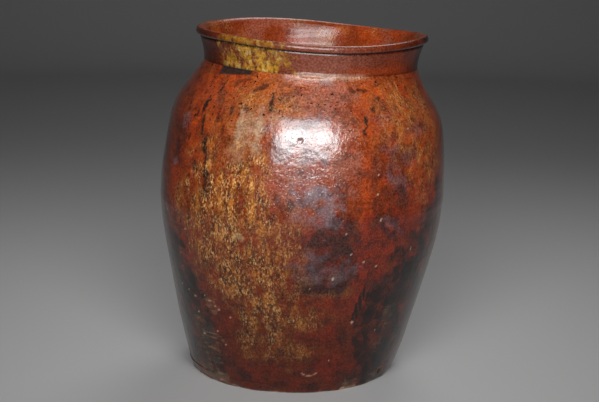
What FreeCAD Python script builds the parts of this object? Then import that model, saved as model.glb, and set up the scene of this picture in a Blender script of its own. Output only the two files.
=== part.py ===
"""Wide-mouthed stoneware storage jar: five clay members, luted face to face.

The lower section leans a little to the right (+X) of its level base, and the upper section, set on it
at the belly, leans more. The collar sits on the neck at a tilt of its own, and its rolled lip rises and
dips round the mouth. The origin is the middle of the base, +Z is up and the front looks along -Y.
"""
import FreeCAD, Part
import math
import os

os.makedirs("parts", exist_ok=True)
Vec = FreeCAD.Vector

# Corners of the thrown sections, which are drawn in short straight runs: (height, radius, thickness) in
# millimetres along each section's own axis. The thickness is the clay's behind the corner, or None where
# the inside runs straight past it.
LOWER_CORNERS = [
    (-6.0, 112.4, None),
    (34.0, 125.2, 12.5),
    (152.0, 152.9, 11.0),
    (178.0, 156.8, None),
    (214.0, 158.9, 10.0),
]
UPPER_CORNERS = [
    (186.0, 158.7, 10.0),
    (222.0, 158.4, 9.8),
    (276.0, 152.9, None),
    (291.0, 149.5, 9.0),
    (305.0, 143.5, None),
    (317.0, 135.7, None),
    (333.5, 123.8, 8.5),
    (366.0, 109.6, 8.5),
]
COVE_FOOT = (8.0, 90.0)  # where the clay pressed in over the floor ends

# How the sections stand, in degrees and millimetres
LOWER_LEAN = 2.89
UPPER_LEAN = 3.70
COLLAR_TILT_RIGHT = 2.2
COLLAR_TILT_FRONT = 0.4
BELLY_SEAM = 198.0
NECK_SEAM = 346.6
AXIS_FOOT_X = -2.1

# Floor slab
BASE_RADIUS = 114.8
SLAB_SEAT_RADIUS = 118.3
SLAB_HEIGHT = 11.0
HEEL_BEVEL = 1.6

# Collar and rolled lip, heights from the neck seam
NECK_RADIUS = 117.8
COLLAR_HEIGHT = 27.2
COLLAR_TOP_RADIUS = 124.6
COLLAR_HOLLOW = 0.7
COLLAR_WALL = 8.5
EDGE_HEIGHT = 2.4
LIP_RADIUS = 128.0
LIP_TOP = 34.4
LIP_HEM = 0.3

# The rim's slow waves: (waves round the mouth, height in millimetres, phase in degrees)
RIM_WAVES = [(2, 1.4, 36.0), (3, 1.4, 33.0)]
SPINE_POINTS = 24

COLLAR_FOOT_INSIDE = NECK_RADIUS - COLLAR_WALL
COLLAR_TOP_INSIDE = COLLAR_TOP_RADIUS - COLLAR_WALL + 0.5
FAR = 400.0


def outline(corners):
    """The closed straight-sided wire through a row of (height, radius) corners, in the XZ plane."""
    places = [Vec(radius, 0.0, height) for height, radius in corners]
    return Part.makePolygon(places + places[:1])


def turned(corners):
    """The solid that a half profile of (height, radius) corners sweeps about the Z axis."""
    solid = Part.Face(outline(corners)).revolve(Vec(0, 0, 0), Vec(0, 0, 1), 360)
    return solid if solid.Volume > 0 else solid.reversed()


def above(height):
    """All the space above a level plane."""
    return Part.makeBox(2.0 * FAR, 2.0 * FAR, 2.0 * FAR, Vec(-FAR, -FAR, height))


def inside_of(corners):
    """The (height, radius) corners of a wall's inside, each square behind its corner of the outside."""
    inside = []
    for i, (height, radius, thickness) in enumerate(corners):
        if thickness is None:
            continue
        before, after = corners[max(i - 1, 0)], corners[min(i + 1, len(corners) - 1)]
        slope = math.atan2(after[1] - before[1], after[0] - before[0])
        inside.append((height + thickness * math.sin(slope), radius - thickness * math.cos(slope)))
    return inside


def wall(corners, foot):
    """A turned wall, over-long at both ends; foot holds further corners of the inside, below the rest."""
    outside = [corner[:2] for corner in corners]
    return turned(outside + inside_of(corners)[::-1] + foot)


def on_lower_axis(shape):
    """Stands a shape made about Z on the lower section's leaning axis."""
    placed = shape.copy()
    placed.rotate(Vec(0, 0, 0), Vec(0, 1, 0), LOWER_LEAN)
    placed.translate(Vec(AXIS_FOOT_X, 0, 0))
    return placed


def belly_x():
    """How far the lower axis has gone to the right where it crosses the belly seam."""
    return AXIS_FOOT_X + BELLY_SEAM * math.tan(math.radians(LOWER_LEAN))


def on_upper_axis(shape):
    """Stands a shape made about Z on the upper section's axis, which starts at the belly seam."""
    placed = shape.copy()
    placed.rotate(Vec(0, 0, BELLY_SEAM), Vec(0, 1, 0), UPPER_LEAN)
    placed.translate(Vec(belly_x(), 0, 0))
    return placed


def on_neck(shape):
    """Sets a shape made about Z, with the neck seam at zero, on the neck at the collar's tilt.

    The neck narrows upward, so its cut through the tilted seam lies a little off the upper axis.
    """
    rise = NECK_SEAM - BELLY_SEAM
    slip = 0.55 * NECK_RADIUS * math.tan(math.radians(UPPER_LEAN - COLLAR_TILT_RIGHT))
    placed = shape.copy()
    placed.rotate(Vec(0, 0, 0), Vec(0, 1, 0), COLLAR_TILT_RIGHT)
    placed.rotate(Vec(0, 0, 0), Vec(1, 0, 0), COLLAR_TILT_FRONT)
    placed.translate(Vec(belly_x() + rise * math.tan(math.radians(UPPER_LEAN)) - slip, 0, NECK_SEAM))
    return placed


def floor_slab():
    """The beaten disc: bare bevelled heel and a level top that the wall stands on."""
    return turned([
        (0.0, 0.0), (0.0, BASE_RADIUS - HEEL_BEVEL), (HEEL_BEVEL, BASE_RADIUS + 0.3 * HEEL_BEVEL),
        (SLAB_HEIGHT, SLAB_SEAT_RADIUS), (SLAB_HEIGHT, 0.0),
    ])


def rim_wave(angle):
    """Height of the rim's slow waves at an angle round the mouth."""
    return sum(high * math.cos(count * angle + math.radians(phase)) for count, high, phase in RIM_WAVES)


def waved(corners):
    """The ring that a section of (height, radius) corners sweeps round the mouth, waving with the rim."""
    spine = Part.BSplineCurve()
    turns = [2.0 * math.pi * i / SPINE_POINTS for i in range(SPINE_POINTS)]
    places = [Vec(NECK_RADIUS * math.cos(a), NECK_RADIUS * math.sin(a), rim_wave(a)) for a in turns]
    spine.interpolate(places, PeriodicFlag=True)
    section = outline(corners)
    section.translate(Vec(0, 0, rim_wave(0.0)))
    sweep = Part.BRepOffsetAPI.MakePipeShell(Part.Wire([spine.toShape()]))
    sweep.setBiNormalMode(Vec(0, 0, 1))
    sweep.add(section, False, False)
    sweep.build()
    sweep.makeSolid()
    ring = sweep.shape()
    return ring if ring.Volume > 0 else ring.reversed()


def collar_ring():
    """The flaring neck ring, over-long below, with a bevelled top edge that the lip is rolled over."""
    under = -2.0 * EDGE_HEIGHT
    middle = 0.5 * COLLAR_HEIGHT
    waist = 0.5 * (NECK_RADIUS + COLLAR_TOP_RADIUS) - COLLAR_HOLLOW
    return waved([
        (under, NECK_RADIUS - 0.8), (middle, waist), (COLLAR_HEIGHT, COLLAR_TOP_RADIUS),
        (COLLAR_HEIGHT + EDGE_HEIGHT, COLLAR_TOP_INSIDE), (middle, waist - COLLAR_WALL),
        (under, COLLAR_FOOT_INSIDE - 0.8),
    ])


def lip_ring():
    """The roll of clay over the collar's edge: overhanging round nose outside, soft slope inside."""
    hem = COLLAR_HEIGHT - LIP_HEM
    rise = LIP_TOP - hem
    out = LIP_RADIUS - COLLAR_TOP_RADIUS
    return waved([
        (hem, COLLAR_TOP_RADIUS - 1.0), (hem, COLLAR_TOP_RADIUS + 0.4 * out),
        (hem + 0.22 * rise, COLLAR_TOP_RADIUS + 0.9 * out), (hem + 0.56 * rise, LIP_RADIUS),
        (hem + 0.86 * rise, COLLAR_TOP_RADIUS + 0.6 * out), (LIP_TOP, COLLAR_TOP_RADIUS - 0.2 * out),
        (hem + 0.9 * rise, COLLAR_TOP_RADIUS - 1.2 * out), (COLLAR_HEIGHT + 0.6 * EDGE_HEIGHT, COLLAR_TOP_INSIDE),
    ])


def main_solid(shape):
    """The largest solid of a cut, as one clean solid."""
    return max(shape.Solids, key=lambda solid: solid.Volume).removeSplitter()


neck_plane = on_neck(above(0.0))
lower = on_lower_axis(wall(LOWER_CORNERS, [COVE_FOOT]))
upper = on_upper_axis(wall(UPPER_CORNERS, []))
collar = on_neck(collar_ring())
PIECES = {
    "floor_slab": floor_slab(),
    "lower_wall": main_solid(lower.common(above(SLAB_HEIGHT)).cut(above(BELLY_SEAM))),
    "upper_wall": main_solid(upper.common(above(BELLY_SEAM)).cut(neck_plane)),
    "collar": main_solid(collar.common(neck_plane)),
    "rolled_lip": main_solid(on_neck(lip_ring()).cut(collar)),
}
for name, solid in PIECES.items():
    solid.exportStep("parts/" + name + ".step")
    print(name, "valid", solid.isValid(), "solids", len(solid.Solids), "volume", round(solid.Volume))
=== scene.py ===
"""Looks of a wide-mouthed stoneware storage jar, over its packed construction model.

Five glazed or bare clay pieces are worked out with numpy as closed grids, each in the place of the CAD
node that it stands for. Lengths in the tables below are millimetres; turn is the angle round the jar
from the middle of the front, in degrees, positive to the right; height is above the floor.
"""
import math

import bpy
import numpy as np
from mathutils import Matrix, Vector


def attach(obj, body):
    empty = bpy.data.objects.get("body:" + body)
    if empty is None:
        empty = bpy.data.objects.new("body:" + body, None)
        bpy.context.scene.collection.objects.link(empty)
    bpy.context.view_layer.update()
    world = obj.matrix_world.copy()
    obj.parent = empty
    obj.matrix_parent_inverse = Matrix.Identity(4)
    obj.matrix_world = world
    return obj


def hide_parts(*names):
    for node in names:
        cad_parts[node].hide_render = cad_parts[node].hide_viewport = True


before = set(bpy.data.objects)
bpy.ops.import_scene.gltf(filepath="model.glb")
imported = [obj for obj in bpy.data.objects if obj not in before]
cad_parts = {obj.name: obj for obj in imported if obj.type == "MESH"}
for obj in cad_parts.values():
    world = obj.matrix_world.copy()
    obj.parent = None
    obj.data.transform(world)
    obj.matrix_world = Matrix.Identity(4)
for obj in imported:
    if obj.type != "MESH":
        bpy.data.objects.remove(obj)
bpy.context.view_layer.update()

bl_info = {
    "name": "Stoneware storage jar",
    "version": (1, 0, 0),
    "blender": (4, 5, 0),
    "location": "View3D > Sidebar > Jar",
    "description": "Builds the clay pieces, the glaze and the stage of a stoneware storage jar",
    "category": "Add Mesh",
}

MM = 0.001

# Thrown sections, as in the construction model: (height, radius) along each section's own axis
LOWER_OUTSIDE = [
    (-6, 112.4), (34, 125.2), (95, 140), (152, 152.8), (178, 157), (198, 158.3), (214, 158.8),
]
LOWER_INSIDE = [
    (6, 89), (16, 99), (36, 112.8), (95, 128.2), (150, 141.9), (214, 148.9),
]
UPPER_OUTSIDE = [
    (186, 157.9), (198, 158.3), (222, 158), (250, 155.8), (276, 152.4), (291, 149.2), (305, 143.2),
    (317, 135.3), (333.5, 123.9), (346, 117.6), (366, 110.6),
]
UPPER_INSIDE = [
    (186, 148.7), (222, 148.6), (262, 144.9), (288, 140.6), (312, 129), (331, 115.8), (366, 102.2),
]
LOWER_LEAN = 2.89  # lean of each section's axis to the right, in degrees
UPPER_LEAN = 3.70
AXIS_FOOT_X = -2.1  # where the lower section's axis meets the floor
FLOOR_TOP = 11.0
BELLY_SEAM = 198.0
BASE_RADIUS = 114.8
SEAT_RADIUS = 118.3

# Collar and lip, heights from the neck seam
NECK_SEAM = 346.6
COLLAR_TILT_RIGHT = 2.2
COLLAR_TILT_FRONT = 0.4
NECK_RADIUS = 117.8
COLLAR_HEIGHT = 27.2
COLLAR_TOP_RADIUS = 124.6
COLLAR_HOLLOW = 0.7
COLLAR_WALL = 8.5
EDGE_HEIGHT = 2.4
LIP_RADIUS = 128.0
LIP_TOP = 34.4
LIP_HEM = 0.3
TOP_INSIDE = COLLAR_TOP_RADIUS - COLLAR_WALL + 0.5
RIM_WAVES = [(2, 1.4, 36.0), (3, 1.4, 33.0)]  # (waves round the mouth, height, angle in degrees)

# Section of the floor disc from the middle of its foot round to the middle of its top: (radius, height)
FLOOR_SECTION = [
    (2, 0), (30, 0), (60, 0), (85, 0), (100, 0), (108, 0), (BASE_RADIUS - 3.4, 0),
    (BASE_RADIUS - 1.4, 0.15), (BASE_RADIUS - 0.3, 0.9), (BASE_RADIUS + 0.5, 2.2), (BASE_RADIUS + 1.2, 4.5),
    (BASE_RADIUS + 2.3, 8), (SEAT_RADIUS, FLOOR_TOP), (SEAT_RADIUS - 6, FLOOR_TOP), (100, FLOOR_TOP),
    (70, FLOOR_TOP), (35, FLOOR_TOP), (2, FLOOR_TOP),
]
# Section of the lip: (share of its height above the hem, radius out from the collar's top in lip widths)
LIP_SECTION = [
    (0.02, 0), (0, 0.42), (0.1, 0.74), (0.27, 0.95), (0.5, 1), (0.72, 0.86), (0.89, 0.56), (0.98, 0.1),
    (1, -0.35), (0.96, -0.85), (0.86, -1.35), (0.7, -1.8), (0.52, -2.2),
]

# How finely the clay is drawn: points round each piece, and rows along its section
AROUND = 640
WALL_ROWS = {"outside": 116, "inside": 30}
COLLAR_ROWS = {"outside": 40, "inside": 20}
LIP_ROWS = 44
LIP_OUTSIDE_ROWS = 24
SEAM_ROWS = 2

# Curves and noise

def spline_through(corners):
    """Radius as a smooth function of height: the natural cubic spline through (height, radius) corners.

    Between two corners it is a cubic whose second derivative runs straight from one corner's value to
    the next, and those values are solved so that the slopes meet.
    """
    x, y = np.array(corners).T
    gap, rise = np.diff(x), np.diff(y)
    system = np.eye(len(x))
    right = np.zeros(len(x))
    for i in range(1, len(x) - 1):
        system[i, i - 1:i + 2] = gap[i - 1], 2 * (gap[i - 1] + gap[i]), gap[i]
        right[i] = 6 * (rise[i] / gap[i] - rise[i - 1] / gap[i - 1])
    bend = np.linalg.solve(system, right)

    def radius(height):
        i = np.clip(np.searchsorted(x, height) - 1, 0, len(x) - 2)
        t = (height - x[i]) / gap[i]
        s = 1 - t
        curve = (s ** 3 - s) * bend[i] + (t ** 3 - t) * bend[i + 1]
        return s * y[i] + t * y[i + 1] + gap[i] ** 2 * curve / 6

    return radius


LATTICE = 32  # corners along each side of the lattice, after which the noise repeats
slope_lattices = {}


def random_slopes(seed):
    """A lattice of steady random slopes, three numbers from -1 to 1 for each corner, by its seed."""
    if seed not in slope_lattices:
        draw = np.random.default_rng(seed)
        slope_lattices[seed] = draw.uniform(-1, 1, (LATTICE ** 3, 3)).astype(np.float32)
    return slope_lattices[seed]


def noise(points, size, seed, octaves=1):
    """Gradient noise, about -1 to 1: random slopes at lattice corners, blended by a smooth step.

    Size is the lattice's spacing in mm, and the seed picks its slopes, so each use has its own. Each
    further octave halves that size and the height of the noise.
    """
    total = np.zeros(points.shape[:-1], np.float32)
    for octave in range(octaves):
        slopes = random_slopes(seed * 8 + octave)
        p = points * (2.0 ** octave / size)
        cell = np.floor(p).astype(np.int64)
        t = (p - cell).astype(np.float32)
        w = t * t * t * (t * (t * 6 - 15) + 10)
        for corner in np.ndindex(2, 2, 2):
            i, j, k = ((cell[..., axis] + corner[axis]) % LATTICE for axis in range(3))
            slope = slopes[(i * LATTICE + j) * LATTICE + k]
            weight = math.prod(w[..., axis] if corner[axis] else 1 - w[..., axis] for axis in range(3))
            away = sum(slope[..., axis] * (t[..., axis] - corner[axis]) for axis in range(3))
            total += weight * away * (1.6 / 2 ** octave)
    return total


def smooth_step(low, high, value):
    """Zero below low, one above high, and a smooth S between them."""
    t = np.clip((value - low) / (high - low), 0, 1)
    return t * t * (3 - 2 * t)


def bump_at(value, centre, width):
    """A bell of height one round a centre."""
    return np.exp(-((value - centre) / width) ** 2)


# Where the clay is

LOWER = {"outside": spline_through(LOWER_OUTSIDE), "inside": spline_through(LOWER_INSIDE),
         "lean": math.radians(LOWER_LEAN), "x": AXIS_FOOT_X, "z": 0.0}
BELLY_X = AXIS_FOOT_X + BELLY_SEAM * math.tan(math.radians(LOWER_LEAN))
UPPER = {"outside": spline_through(UPPER_OUTSIDE), "inside": spline_through(UPPER_INSIDE),
         "lean": math.radians(UPPER_LEAN), "x": BELLY_X, "z": BELLY_SEAM}
# The collar leans less than the wall under it, so its middle slips back to the left
NECK_SLIP = 0.55 * NECK_RADIUS * math.tan(math.radians(UPPER_LEAN - COLLAR_TILT_RIGHT))
NECK_X = BELLY_X + (NECK_SEAM - BELLY_SEAM) * math.tan(math.radians(UPPER_LEAN)) - NECK_SLIP


def neck_axes():
    """The collar's own three directions, as columns: its tilt to the right, then to the front."""
    right, front = math.radians(COLLAR_TILT_RIGHT), math.radians(COLLAR_TILT_FRONT)
    c, s = math.cos(right), math.sin(right)
    about_y = np.array([[c, 0, s], [0, 1, 0], [-s, 0, c]])
    c, s = math.cos(front), math.sin(front)
    about_x = np.array([[1, 0, 0], [0, c, -s], [0, s, c]])
    return about_x @ about_y


NECK_AXES = neck_axes()


def bearing(turn):
    """Angle from +X, in radians, of a turn in degrees from the middle of the front."""
    return np.radians(turn - 90.0)


def on_section(section, turn, along, radius):
    """A point at a turn, a length along the section's leaning axis and a radius about it."""
    a = bearing(turn)
    lean, up = section["lean"], along - section["z"]
    x = section["x"] + up * math.sin(lean) + radius * np.cos(a) * math.cos(lean)
    z = section["z"] + up * math.cos(lean) - radius * np.cos(a) * math.sin(lean)
    return np.stack([x, radius * np.sin(a) + 0 * x, z], -1)


FOOT_GUESS, HEAD_GUESS = 20.0, 200.0  # lengths along the axis from which a section's ends are looked for


def along_at(section, skin, turn, plane_point, plane_normal, guess):
    """The length along a section's axis where its skin crosses a plane, found by repeated correction."""
    along = np.full(turn.shape, guess)
    for _ in range(12):
        here = on_section(section, turn, along, section[skin](along))
        along = along - (here - plane_point) @ plane_normal
    return along


def on_neck(turn, height, radius):
    """A point of the collar's tilted frame, height above the neck seam and radius about its axis."""
    a = bearing(turn)
    local = np.stack([radius * np.cos(a), radius * np.sin(a), height + 0 * a], -1)
    return local @ NECK_AXES.T + np.array([NECK_X, 0, NECK_SEAM])


def rim_wave(turn):
    """Height of the rim's slow waves: one cosine for each number of waves round the mouth."""
    a = bearing(turn)
    return sum(high * np.cos(count * a + math.radians(phase)) for count, high, phase in RIM_WAVES)


# Unevenness of the clay

MIDDLE_LEAN = 0.054  # how far the jar's middle line runs to the right for each mm that it rises
PAINT_RADIUS = 150.0  # radius at which a turn is read as a length along the wall
BEAD_TURNS = (-4, 24, 9)  # where the neck's bead stands highest: from turn, to turn, fade
NOTCH_TURNS = (-50, -37, 6)  # where the neck is undercut, in the same way
NOTCH_DEPTH = 2.4


def turn_of(points):
    """Turn in degrees of points about the jar's middle line, which leans to the right."""
    middle = AXIS_FOOT_X + MIDDLE_LEAN * points[..., 2]
    return np.degrees(np.arctan2(points[..., 0] - middle, -points[..., 1]))


def turn_gap(turn, centre):
    """Signed difference of two turns, from -180 to 180 degrees."""
    return (turn - centre + 180.0) % 360.0 - 180.0


def spot(turn, height, centre, high, wide, tall, lean=0.0):
    """Distance from a spot's middle, one at its edge: an ellipse of half sizes in mm, leaned in degrees."""
    across = np.radians(turn_gap(turn, centre)) * PAINT_RADIUS
    up = height - high
    c, s = math.cos(math.radians(lean)), math.sin(math.radians(lean))
    return np.hypot((across * c + up * s) / wide, (up * c - across * s) / tall)


# Dents and chips: (turn, height, half width, half height, depth)
CHIPS = [
    (9, 27, 10, 4.2, 1.5), (54, 12, 5, 4, 2.4), (-24, 9, 6, 4, 1.4), (-39, 6, 9, 4, 1.2),
    (28, 4, 12, 3.5, 1.3), (-9, 3, 8, 3, 1), (-3, 283, 3.6, 3.2, 0.9), (-84, 292, 3, 5, 1.1),
    (150, 8, 10, 5, 1.8), (-128, 5, 14, 4, 1.6), (112, 96, 4, 3, 0.6),
]


def above_neck(points):
    """Height of points above the tilted plane of the neck seam, in mm."""
    return (points - np.array([NECK_X, 0, NECK_SEAM])) @ NECK_AXES[:, 2]


def between_turns(turn, low, high, fade):
    """One between two turns, fading to zero over a few degrees outside them."""
    return smooth_step(low - fade, low, turn) * smooth_step(high + fade, high, turn)


def outside_unevenness(points, sizes):
    """How far the outside stands proud of its true curve, in mm.

    A sum of slow swellings, throwing rings that climb as a screw, a fine skin, the soft ridge of the
    belly joint, the bead and the undercut of the neck joint, the rubbed heel and a few dents.
    """
    turn, height = turn_of(points), points[..., 2]
    swell = sizes.swelling * (noise(points, 95, 1, 2) + 0.45 * noise(points, 34, 2, 2))
    wander = 0.6 * noise(points * [1, 1, 3], 60, 3)
    screw = np.cos(2 * np.pi * (height / sizes.ring_pitch + turn / 360.0 + wander))
    strength = 0.35 + 0.8 * bump_at(height, 190, 60) + 0.8 * noise(points * [0.6, 0.6, 2.0], 50, 4, 2)
    rings = sizes.ring_depth * screw * np.clip(strength, 0.0, 1.5)
    rings += 1.1 * sizes.ring_depth * noise(points * [0.3, 0.3, 2.6], 10, 5, 2) * bump_at(height, 195, 80)
    skin = 0.11 * noise(points, 9, 6, 2)
    joint = 0.35 * bump_at(height, BELLY_SEAM + 1.0 + 2.5 * noise(points, 70, 7), 8.0)
    neck = above_neck(points)
    uneven = 0.8 + 0.5 * noise(points, 14, 10, 2)
    bead = sizes.neck_bead * bump_at(neck, -0.2, 2.2) * uneven * between_turns(turn, *BEAD_TURNS)
    bead += 0.3 * sizes.neck_bead * bump_at(neck, -0.4, 2.4) * uneven
    undercut = -NOTCH_DEPTH * bump_at(neck, -3.0, 2.6) * between_turns(turn, *NOTCH_TURNS)
    heel = -1.3 * bump_at(height, 0, 5.0) * (0.5 + noise(points, 26, 8, 2))
    chips = 0.0
    for centre, high, wide, tall, depth in CHIPS:
        far = spot(turn, height, centre, high, wide, tall) + 0.22 * noise(points, 5, 9)
        chips = chips - depth * smooth_step(1.0, 0.55, far)
    return swell + rings + skin + joint + bead + undercut + heel + chips


def inside_unevenness(points, sizes):
    """Finger ridges of the inside: a slow screw of rounded ridges with swellings, in mm."""
    height = points[..., 2]
    wander = 0.3 * noise(points, 80, 21)
    screw = np.cos(2 * np.pi * (height / sizes.finger_pitch + turn_of(points) / 360.0 + wander))
    return sizes.finger_depth * screw + 0.5 * noise(points, 70, 22, 2)


def pushed(points, amount):
    """Points moved square to the jar's middle line, outwards by an amount in mm."""
    a = bearing(turn_of(points))
    return points + np.stack([np.cos(a), np.sin(a), 0 * a], -1) * amount[..., None]


# Glaze colours and where they lie

def seen(red, green, blue):
    """A colour written as it looks on a screen, 0 to 255, as the shader's light values."""
    c = np.array([red, green, blue]) / 255.0
    return np.where(c <= 0.04045, c / 12.92, ((c + 0.055) / 1.055) ** 2.4)


# Each layer: (colour name, edge softness, raggedness, grain of the edge, spots), laid in this order.
# A spot is (turn, height, half width, half height, strength) and, where it leans, its lean in degrees.
LAYERS = [
    ("amber", 1.3, 0.7, 22, [
        (-14, 326, 84, 30, 0.85), (32, 318, 64, 34, 0.7), (-28, 290, 36, 32, 0.6), (22, 296, 40, 24, 0.5),
        (54, 300, 34, 40, 0.5),
    ]),
    ("mauve", 1.3, 0.6, 22, [
        (3, 324, 44, 26, 0.9), (3, 286, 42, 42, 0.95), (13, 258, 30, 30, 0.8), (-3, 238, 34, 24, 0.85),
        (-13, 228, 18, 18, 0.5), (2, 214, 28, 16, 0.7), (-14, 306, 20, 14, 0.5),
    ]),
    ("plum", 1.1, 0.9, 14, [
        (-62, 270, 13, 30, 0.95), (-74, 240, 22, 70, 0.8), (41, 224, 20, 18, 0.95),
        (36, 204, 26, 18, 0.8), (36, 262, 18, 14, 0.6, -25), (46, 268, 14, 10, 0.5),
        (34, 182, 22, 16, 0.8), (34, 236, 14, 16, 0.7), (54, 286, 14, 10, 0.4),
    ]),
    ("ember", 1.1, 0.9, 16, [
        (56, 212, 28, 22, 0.85), (44, 186, 26, 16, 0.7), (33, 162, 24, 34, 0.85), (-62, 214, 12, 22, 0.7),
        (-54, 176, 18, 34, 0.6), (12, 74, 26, 16, 0.7), (20, 102, 30, 12, 0.7), (22, 32, 26, 16, 0.8),
        (-16, 26, 30, 12, 0.5), (-36, 112, 14, 12, 0.6), (-34, 84, 14, 16, 0.5), (4, 52, 20, 6, 0.5),
        (48, 146, 12, 8, 0.5), (30, 46, 10, 8, 0.6),
    ]),
    ("dusk", 1.3, 0.7, 14, [
        (12, 168, 30, 28, 0.95), (14, 190, 24, 12, 0.85), (16, 148, 36, 18, 0.9), (12, 128, 40, 12, 0.9),
        (4, 134, 24, 14, 0.6), (1, 172, 14, 12, 0.4), (22, 180, 12, 14, 0.6),
    ]),
    ("umber", 1.2, 0.9, 14, [
        (56, 134, 36, 38, 1), (64, 168, 30, 34, 0.9), (50, 96, 42, 44, 1), (54, 44, 46, 56, 1),
        (76, 110, 44, 90, 1), (-68, 124, 32, 56, 1), (-72, 60, 52, 60, 1), (-54, 92, 18, 26, 0.95),
        (-48, 44, 22, 50, 0.95), (34, 70, 16, 40, 0.9), (37, 112, 14, 18, 0.95), (45, 142, 14, 18, 0.9),
        (50, 168, 16, 16, 0.75), (32, 46, 14, 14, 0.8), (22, 66, 8, 10, 0.4), (-56, 112, 18, 22, 1),
        (-61, 160, 12, 22, 0.9), (-45, 72, 18, 16, 0.95), (68, 200, 14, 30, 0.8), (8, 88, 30, 4, 0.4),
        (-16, 98, 14, 5, 0.4), (14, 60, 20, 4, 0.4), (34, 18, 22, 8, 0.6), (-42, 66, 14, 14, 0.8),
        (-10, 38, 24, 4, 0.35), (0, 20, 30, 4, 0.3), (-26, 20, 12, 6, 0.5), (-6, 12, 13, 4, 0.5),
        (13, 9, 10, 4, 0.5), (25, 17, 8, 6, 0.5), (-33, 32, 9, 7, 0.45), (1, 46, 10, 5, 0.35),
        (-18, 58, 9, 4, 0.35),
    ]),
    ("flame", 1.1, 0.9, 12, [
        (-52, 326, 22, 16, 0.85), (-40, 332, 24, 12, 0.8), (-51, 272, 10, 38, 1, 4),
        (-49, 248, 10, 18, 0.8), (-46, 304, 14, 16, 0.5), (-61, 228, 8, 16, 0.5), (32, 304, 26, 20, 0.6),
        (53, 248, 16, 20, 0.65), (60, 280, 16, 22, 0.5), (48, 322, 26, 14, 0.5),
        (47, 250, 14, 4, 0.7, 30), (44, 280, 12, 4, 0.6, 30), (51, 230, 16, 12, 0.8),
        (49, 208, 12, 9, 0.5), (30, 240, 10, 5, 0.5, 20), (60, 226, 12, 10, 0.5),
    ]),
    ("flame", 0.9, 0.7, 9, [
        (24.5, 300, 7, 26, 0.55), (24, 254, 6, 40, 0.6), (24, 214, 6, 22, 0.7),
    ]),
    ("ember", 0.8, 0.7, 9, [
        (25, 176, 5.5, 34, 0.95), (27, 138, 6, 30, 0.85), (24, 112, 12, 8, 0.6), (17, 31, 8, 7, 0.8),
        (30, 28, 10, 6, 0.8), (33, 62, 7, 5, 0.5), (52, 152, 9, 5, 0.6), (-15, 12, 9, 5, 0.6),
        (5, 22, 10, 5, 0.6), (-30, 14, 8, 5, 0.6), (-8, 28, 9, 5, 0.5), (20, 42, 8, 6, 0.6),
    ]),
    # Slate grey, partly the glaze's own and partly painted sheen; the last four spots, under the highlight
    # at the front, are painted highlight that makes it whiter
    ("slate", 1.5, 0.8, 9, [
        (4, 230, 22, 9, 0.85), (0, 221, 16, 6, 0.6), (9, 212, 12, 7, 0.7), (9, 200, 13, 8, 0.7),
        (3, 205, 16, 5, 0.5), (4, 162, 18, 6, 0.35), (13, 147, 24, 7, 0.45), (6, 139, 18, 6, 0.4),
        (15, 137, 14, 6, 0.45), (1, 152, 16, 5, 0.4), (14, 137, 6, 3, 0.6), (35, 274, 14, 9, 0.25),
        (45, 262, 12, 9, 0.3), (51, 286, 14, 7, 0.25), (38, 240, 14, 8, 0.3, -20), (43, 229, 10, 7, 0.25),
        (36, 252, 10, 8, 0.25), (38, 190, 14, 4, 0.35, -40), (-62, 244, 6, 5, 0.4),
        (-59, 292, 8, 9, 0.35), (32, 302, 12, 8, 0.3), (-1, 292, 22, 14, 0.75), (-9, 277, 11, 16, 0.7),
        (2, 270, 14, 12, 0.7), (1, 251, 12, 8, 0.35),
    ]),
    ("ink", 1.2, 0.9, 8, [
        (37, 180, 16, 4, 0.8, -40), (38, 196, 9, 7, 0.6), (31, 196, 6, 7, 0.5), (38, 128, 16, 6, 0.7, 15),
        (40, 228, 9, 6, 0.5), (9, 124, 26, 4, 0.5), (50, 116, 18, 10, 0.7), (-5, 219, 3, 6, 0.5),
        (22, 168, 8, 12, 0.5), (60, 250, 8, 6, 0.4), (-62, 262, 7, 8, 0.5),
    ]),
]

# The ochre runs, where fine flecks cover the glaze, and the small marks: spots as above, and flakes,
# which are spots without a strength
OCHRE = [
    (-34, 232, 42, 26, 1), (-32, 196, 50, 34, 1), (-30, 158, 46, 32, 1), (-24, 124, 42, 22, 1),
    (-14, 96, 34, 24, 0.9), (-14, 70, 32, 18, 0.75), (-6, 50, 40, 14, 0.45), (-22, 258, 22, 18, 0.7),
    (-12, 168, 28, 36, 0.6), (-6, 130, 22, 26, 0.6), (-42, 272, 12, 22, 0.4), (-20, 318, 50, 14, 0.3),
    (44, 304, 40, 30, 0.3), (56, 250, 30, 40, 0.28), (4, 90, 24, 12, 0.5), (18, 118, 14, 6, 0.3),
    (-56, 205, 14, 24, 0.4), (62, 306, 20, 24, 0.35),
]
TAN = [
    (-20.3, 291, 6.5, 22, 0.95), (-28.3, 290, 5, 19, 0.9), (-24.5, 290, 14, 18, 0.75),
    (-28, 270, 11, 9, 0.5), (-15, 305, 8, 6, 0.35),
]
PALE = [
    (-25, 181, 4.5, 3.5, 0.9), (-23, 178, 3, 3, 0.6), (-12, 80, 4, 3, 0.7), (-8, 99, 4, 2.4, 0.4),
]
SCUFFS = [
    (-46, 44, 22, 24, 1), (-50, 66, 14, 14, 0.9), (-40, 96, 12, 8, 0.9, -25), (-52, 22, 20, 16, 0.9),
    (46, 84, 9, 14, 0.7), (54, 12, 14, 6, 0.9), (33, 8, 10, 6, 0.8), (-44, 8, 22, 7, 0.9),
    (44, 50, 8, 10, 0.4), (60, 44, 12, 24, 0.3), (14, 139, 7, 4, 0.4), (-51, 7, 18, 7, 1),
]
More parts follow.
